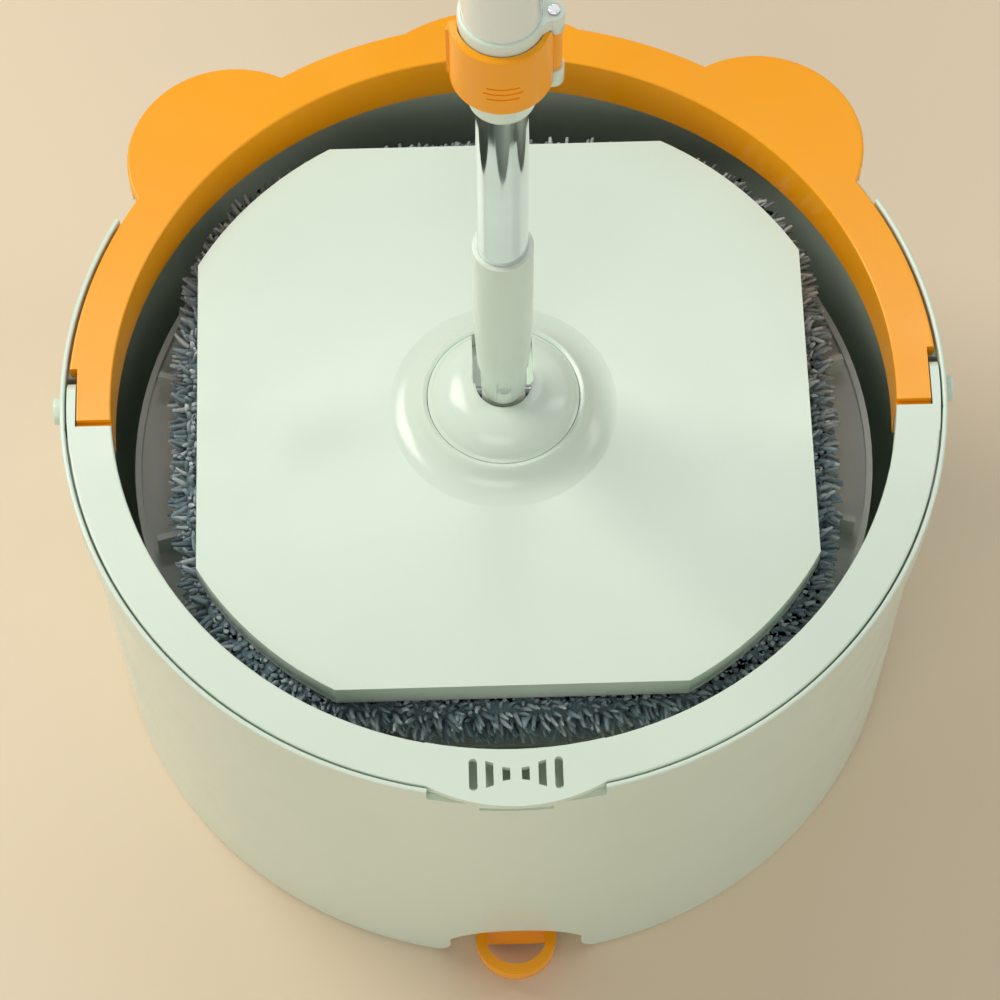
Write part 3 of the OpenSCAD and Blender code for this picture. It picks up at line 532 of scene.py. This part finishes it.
wide = number(pile, "MAXIMUM", number(pile, "ABSOLUTE", axes.outputs["X"]),
              number(pile, "ABSOLUTE", axes.outputs["Y"]))
squares = [number(pile, "POWER", number(pile, "ABSOLUTE", axes.outputs[axis]), 2.0)
           for axis in "XY"]
across = number(pile, "SQRT", number(pile, "ADD", *squares))
outside = number(pile, "MAXIMUM", number(pile, "GREATER_THAN", wide, given.outputs["Hidden Half"]),
                 number(pile, "GREATER_THAN", across, given.outputs["Hidden Reach"]))
under_top = number(pile, "LESS_THAN", axes.outputs["Z"], given.outputs["Top"])
shown = number(pile, "MAXIMUM", outside, under_top)
# The underside is pressed on the tray and is seen least, so its yarns stand further apart
facing = add(pile, "ShaderNodeSeparateXYZ", Vector=add(pile, "GeometryNodeInputNormal").outputs[0])
below = number(pile, "LESS_THAN", facing.outputs["Z"], -0.7)
thinning = number(pile, "SUBTRACT", 1.0, given.outputs["Under"])
crowd = number(pile, "SUBTRACT", 1.0, number(pile, "MULTIPLY", below, thinning))
scatter = add(pile, "GeometryNodeDistributePointsOnFaces", {"distribute_method": "POISSON"},
              Mesh=given.outputs["Geometry"], Selection=shown,
              Distance_Min=given.outputs["Spacing"],
              Density_Max=600000.0, Density_Factor=crowd, Seed=given.outputs["Seed"])
yarn = add(pile, "GeometryNodeMeshCone", {"fill_type": "TRIANGLE_FAN"}, Vertices=5, Side_Segments=3,
           Radius_Top=number(pile, "MULTIPLY", given.outputs["Thickness"], 0.5),
           Radius_Bottom=given.outputs["Thickness"], Depth=given.outputs["Length"])
# Each yarn curls over towards its tip: the sideways shift grows with the square of the height
yarn_point = add(pile, "GeometryNodeInputPosition")
yarn_place = add(pile, "ShaderNodeSeparateXYZ", Vector=yarn_point.outputs[0])
share = number(pile, "DIVIDE", yarn_place.outputs["Z"], given.outputs["Length"])
bend = number(pile, "MULTIPLY", number(pile, "MULTIPLY", share, share), given.outputs["Curl"])
shift = number(pile, "MULTIPLY", bend, given.outputs["Length"])
curl = add(pile, "ShaderNodeCombineXYZ", X=shift)
curled = add(pile, "GeometryNodeSetPosition", Geometry=yarn.outputs["Mesh"], Offset=curl.outputs[0])
smooth_yarn = add(pile, "GeometryNodeSetShadeSmooth", Geometry=curled.outputs["Geometry"])
lean = add(pile, "FunctionNodeRandomValue", {"data_type": "FLOAT_VECTOR"}, Seed=3)
lean.inputs[0].default_value = (-1.0, -1.0, -1.0)
lean.inputs[1].default_value = (1.0, 1.0, 1.0)
leaning = add(pile, "ShaderNodeVectorMath", {"operation": "SCALE"})
pile.links.new(lean.outputs[0], leaning.inputs[0])
pile.links.new(given.outputs["Lean"], leaning.inputs["Scale"])
direction = add(pile, "ShaderNodeVectorMath", {"operation": "ADD"})
pile.links.new(leaning.outputs[0], direction.inputs[0])
pile.links.new(scatter.outputs["Normal"], direction.inputs[1])
upright = add(pile, "FunctionNodeAlignRotationToVector", {"axis": "Z"}, Vector=direction.outputs[0])
growth = add(pile, "FunctionNodeRandomValue", {"data_type": "FLOAT"}, Seed=11)
growth.inputs[2].default_value, growth.inputs[3].default_value = 0.7, 1.15
# Yarns that point sideways are the pad's fringe, and are longer
aside = add(pile, "ShaderNodeVectorMath", {"operation": "MULTIPLY"})
pile.links.new(scatter.outputs["Normal"], aside.inputs[0])
aside.inputs[1].default_value = (1.0, 1.0, 0.0)
sideways = add(pile, "ShaderNodeVectorMath", {"operation": "LENGTH"})
pile.links.new(aside.outputs[0], sideways.inputs[0])
fringe = number(pile, "MULTIPLY", sideways.outputs["Value"], given.outputs["Fringe"])
longer = number(pile, "ADD", fringe, 1.0)
growth_length = number(pile, "MULTIPLY", growth.outputs[1], longer)
stretch = add(pile, "ShaderNodeCombineXYZ", X=growth.outputs[1], Y=growth.outputs[1],
              Z=growth_length)
planted = add(pile, "GeometryNodeInstanceOnPoints", Points=scatter.outputs["Points"],
              Instance=smooth_yarn.outputs["Geometry"], Rotation=upright.outputs["Rotation"],
              Scale=stretch.outputs[0])
shade = add(pile, "FunctionNodeRandomValue", {"data_type": "FLOAT"}, Seed=19)
tinted = add(pile, "GeometryNodeStoreNamedAttribute", {"data_type": "FLOAT", "domain": "INSTANCE"},
             Geometry=planted.outputs["Instances"], Name="yarn_tint", Value=shade.outputs[1])
real = add(pile, "GeometryNodeRealizeInstances", Geometry=tinted.outputs["Geometry"])
coloured = add(pile, "GeometryNodeSetMaterial", Geometry=real.outputs["Geometry"],
               Material=MICROFIBRE)
pile.links.new(coloured.outputs["Geometry"], made.inputs["Geometry"])
print("pile tree has", len(pile.nodes), "nodes")

# %% Grow the pile
pad_pile = mesh_object("pad_pile", pad_core.data.copy())
run_tree(pad_pile, pile, PILE_SIZES)
PRESSED_HALF = 0.1245
UNDER_HEAD, BESIDE_HEAD = PAD_TOP - 0.0002, PAD_TOP + 0.0015
PILE_FLOOR = PAD_BOTTOM - 0.0012
for vertex in pad_pile.data.vertices:
    pressed = max(abs(vertex.co.x), abs(vertex.co.y)) < PRESSED_HALF
    vertex.co.z = min(max(vertex.co.z, PILE_FLOOR), UNDER_HEAD if pressed else BESIDE_HEAD)
print("pile has", len(pad_pile.data.polygons), "faces")

# %% The pad rides on the head
for piece in (pad_core, pad_pile):
    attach(piece, "head")
    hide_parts("mop_pad")
print("pad rides on the head")

# %% [markdown]
# ## Hook tape
# The pad hangs on four strips of hook tape: a woven band with thousands of tiny stiff hooks.
# The strips are hidden while the pad is on, so a coarse field of short straight stems on a
# thin band is enough, planted in a regular grid as a loom would set them.

# %% Tape material
HOOK_TAPE, tree, shader, place = start_material("hook_tape")
weave = tree.nodes.new("ShaderNodeTexWave")
weave.inputs["Scale"].default_value = 500.0
weave.inputs["Distortion"].default_value = 1.5
tree.links.new(place, weave.inputs["Vector"])
woven = blend_colours(tree, weave.outputs["Fac"], (0.62, 0.63, 0.61), (0.78, 0.79, 0.77))
tree.links.new(woven, shader.inputs["Base Color"])
shader.inputs["Roughness"].default_value = 0.7
relief(tree, shader, weave.outputs["Fac"], 0.0001)
print("tape weave scale", weave.inputs["Scale"].default_value)

# %% Tree that plants the hooks
TAPE_SIZES = {"Height": 0.0004, "Stem": 0.00022}
tape, given, made = new_tree("plant_hooks", TAPE_SIZES)
tape_low, tape_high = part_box("hook_strips")
TAPE_WIDE, TAPE_LONG = 0.0136, 0.1292
TAPE_BAND, TAPE_LIFT, TAPE_INSET = 0.0004, 0.0006, 0.0002
bands = []
for turn in range(4):
    band = add(tape, "GeometryNodeMeshGrid", Size_X=TAPE_LONG, Size_Y=TAPE_WIDE,
               Vertices_X=58, Vertices_Y=7)
    stem = add(tape, "GeometryNodeMeshCone", Vertices=4, Radius_Top=given.outputs["Stem"],
               Radius_Bottom=given.outputs["Stem"], Depth=given.outputs["Height"])
    hooks = add(tape, "GeometryNodeInstanceOnPoints", Points=band.outputs["Mesh"],
                Instance=stem.outputs["Mesh"])
    slab = add(tape, "GeometryNodeMeshCube", Vertices_X=2, Vertices_Y=2, Vertices_Z=2)
    slab.inputs["Size"].default_value = (TAPE_LONG, TAPE_WIDE, TAPE_BAND)
    lifted = add(tape, "GeometryNodeTransform", Geometry=slab.outputs["Mesh"])
    lifted.inputs["Translation"].default_value = (0, 0, TAPE_LIFT)
    both = add(tape, "GeometryNodeJoinGeometry")
    tape.links.new(hooks.outputs["Instances"], both.inputs["Geometry"])
    tape.links.new(lifted.outputs["Geometry"], both.inputs["Geometry"])
    set_down = add(tape, "GeometryNodeTransform", Geometry=both.outputs["Geometry"])
    angle = math.pi / 2 * turn
    reach = tape_high.y - TAPE_WIDE / 2 - TAPE_INSET
    centre = (-math.sin(angle) * reach, math.cos(angle) * reach, tape_low.z)
    set_down.inputs["Translation"].default_value = centre
    set_down.inputs["Rotation"].default_value = (0, 0, angle)
    bands.append(set_down)
joined = add(tape, "GeometryNodeJoinGeometry")
for band in bands:
    tape.links.new(band.outputs["Geometry"], joined.inputs["Geometry"])
real = add(tape, "GeometryNodeRealizeInstances", Geometry=joined.outputs["Geometry"])
coloured = add(tape, "GeometryNodeSetMaterial", Geometry=real.outputs["Geometry"],
               Material=HOOK_TAPE)
tape.links.new(coloured.outputs["Geometry"], made.inputs["Geometry"])
hook_tape = mesh_object("hook_tape", bpy.data.meshes.new("hook_tape"))
run_tree(hook_tape, tape, TAPE_SIZES)
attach(hook_tape, "head")
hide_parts("hook_strips")
print("hook tape has", len(hook_tape.data.polygons), "faces")

# %% [markdown]
# ## Grip
# The grip is a soft sleeve moulded over the tube, waisted at both ends, with round grooves
# for the fingers and rows of small studs between them. The sleeve is one profile turned
# round the pole. The studs repeat by a rule, so Geometry Nodes set them.

# %% Grip sleeve
grip_low, grip_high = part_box("grip")
GRIP_BORE = 0.01402
GRIP_OUT = grip_high.x - 0.0016
GRIP_BULGE = 0.0016
GROOVES, GROOVE_PITCH, GROOVE_DEPTH = 9, 0.0095, 0.0011
GROOVE_START, GROOVE_WIDTH = 0.0192, 0.0013
END_ROUND = 0.0016
grip_length = grip_high.z - grip_low.z


def grip_radius(height):
    """Outer radius of the sleeve at a height above its lower end."""
    share = height / grip_length
    radius = GRIP_OUT + GRIP_BULGE * math.sin(math.pi * share)
    for i in range(GROOVES):
        away = (height - GROOVE_START - i * GROOVE_PITCH) / GROOVE_WIDTH
        radius -= GROOVE_DEPTH * math.exp(-away * away)
    edge = min(height, grip_length - height)
    return radius - END_ROUND * max(0.0, 1 - edge / END_ROUND) ** 2


def turned(name, profile, count=72):
    """A closed ring turned round the pole from a closed profile of (radius, height)."""
    vertices, faces = [], []
    for i in range(count):
        angle = 2 * math.pi * i / count
        vertices += [(r * math.cos(angle), r * math.sin(angle), z) for r, z in profile]
    size = len(profile)
    for i in range(count):
        for k in range(size):
            a, b = i * size, (i + 1) % count * size
            faces.append((a + k, b + k, b + (k + 1) % size, a + (k + 1) % size))
    mesh = bpy.data.meshes.new(name)
    mesh.from_pydata(vertices, [], faces)
    mesh.update()
    return mesh_object(name, mesh)


STEPS = 190
heights = [grip_length * i / STEPS for i in range(STEPS + 1)]
outer = [(grip_radius(height), grip_low.z + height) for height in heights]
profile = [(GRIP_BORE, grip_low.z)] + outer + [(GRIP_BORE, grip_high.z)]
grip_sleeve = turned("grip_sleeve", profile)
for face in grip_sleeve.data.polygons:
    face.use_smooth = True
print("sleeve has", len(grip_sleeve.data.polygons), "faces")

# %% Grip material
SOFT_MINT = moulded_plastic("soft_mint", (0.56, 0.70, 0.57), (0.52, 0.665, 0.53),
                            (0.48, 0.62), 0.00004)
grip_sleeve.data.materials.append(SOFT_MINT)
print("soft touch:", SOFT_MINT.name)

# %% Tree that sets the studs
STUD_SIZES = {"Across": 0.0016, "Around": 22}
STUD_SINK = 0.0001
half_step = math.pi / STUD_SIZES["Around"]
studs, given, made = new_tree("set_studs", STUD_SIZES)
stud = add(studs, "GeometryNodeMeshIcoSphere", Subdivisions=1, Radius=given.outputs["Across"])
low_stud = add(studs, "GeometryNodeTransform", Geometry=stud.outputs["Mesh"])
low_stud.inputs["Scale"].default_value = (0.45, 1.0, 1.0)
rows = add(studs, "GeometryNodeJoinGeometry")
for i in range(GROOVES - 1):
    height = GROOVE_START + (i + 0.5) * GROOVE_PITCH
    circle = add(studs, "GeometryNodeMeshCircle", Vertices=given.outputs["Around"],
                 Radius=grip_radius(height) - STUD_SINK)
    lifted = add(studs, "GeometryNodeTransform", Geometry=circle.outputs["Mesh"])
    lifted.inputs["Translation"].default_value = (0, 0, grip_low.z + height)
    lifted.inputs["Rotation"].default_value = (0, 0, half_step * (i % 2))
    studs.links.new(lifted.outputs["Geometry"], rows.inputs["Geometry"])
spot = add(studs, "GeometryNodeInputPosition")
flat = add(studs, "ShaderNodeVectorMath", {"operation": "MULTIPLY"})
studs.links.new(spot.outputs[0], flat.inputs[0])
flat.inputs[1].default_value = (1, 1, 0)
outwards = add(studs, "FunctionNodeAlignRotationToVector", {"axis": "X"}, Vector=flat.outputs[0])
placed = add(studs, "GeometryNodeInstanceOnPoints", Points=rows.outputs["Geometry"],
             Instance=low_stud.outputs["Geometry"], Rotation=outwards.outputs["Rotation"])
real = add(studs, "GeometryNodeRealizeInstances", Geometry=placed.outputs["Instances"])
rounded = add(studs, "GeometryNodeSetShadeSmooth", Geometry=real.outputs["Geometry"])
coloured = add(studs, "GeometryNodeSetMaterial", Geometry=rounded.outputs["Geometry"],
               Material=SOFT_MINT)
studs.links.new(coloured.outputs["Geometry"], made.inputs["Geometry"])
grip_studs = mesh_object("grip_studs", bpy.data.meshes.new("grip_studs"))
run_tree(grip_studs, studs, STUD_SIZES)
for piece in (grip_sleeve, grip_studs):
    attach(piece, "upper_pole")
    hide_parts("grip")
print("studs have", len(grip_studs.data.polygons), "faces")
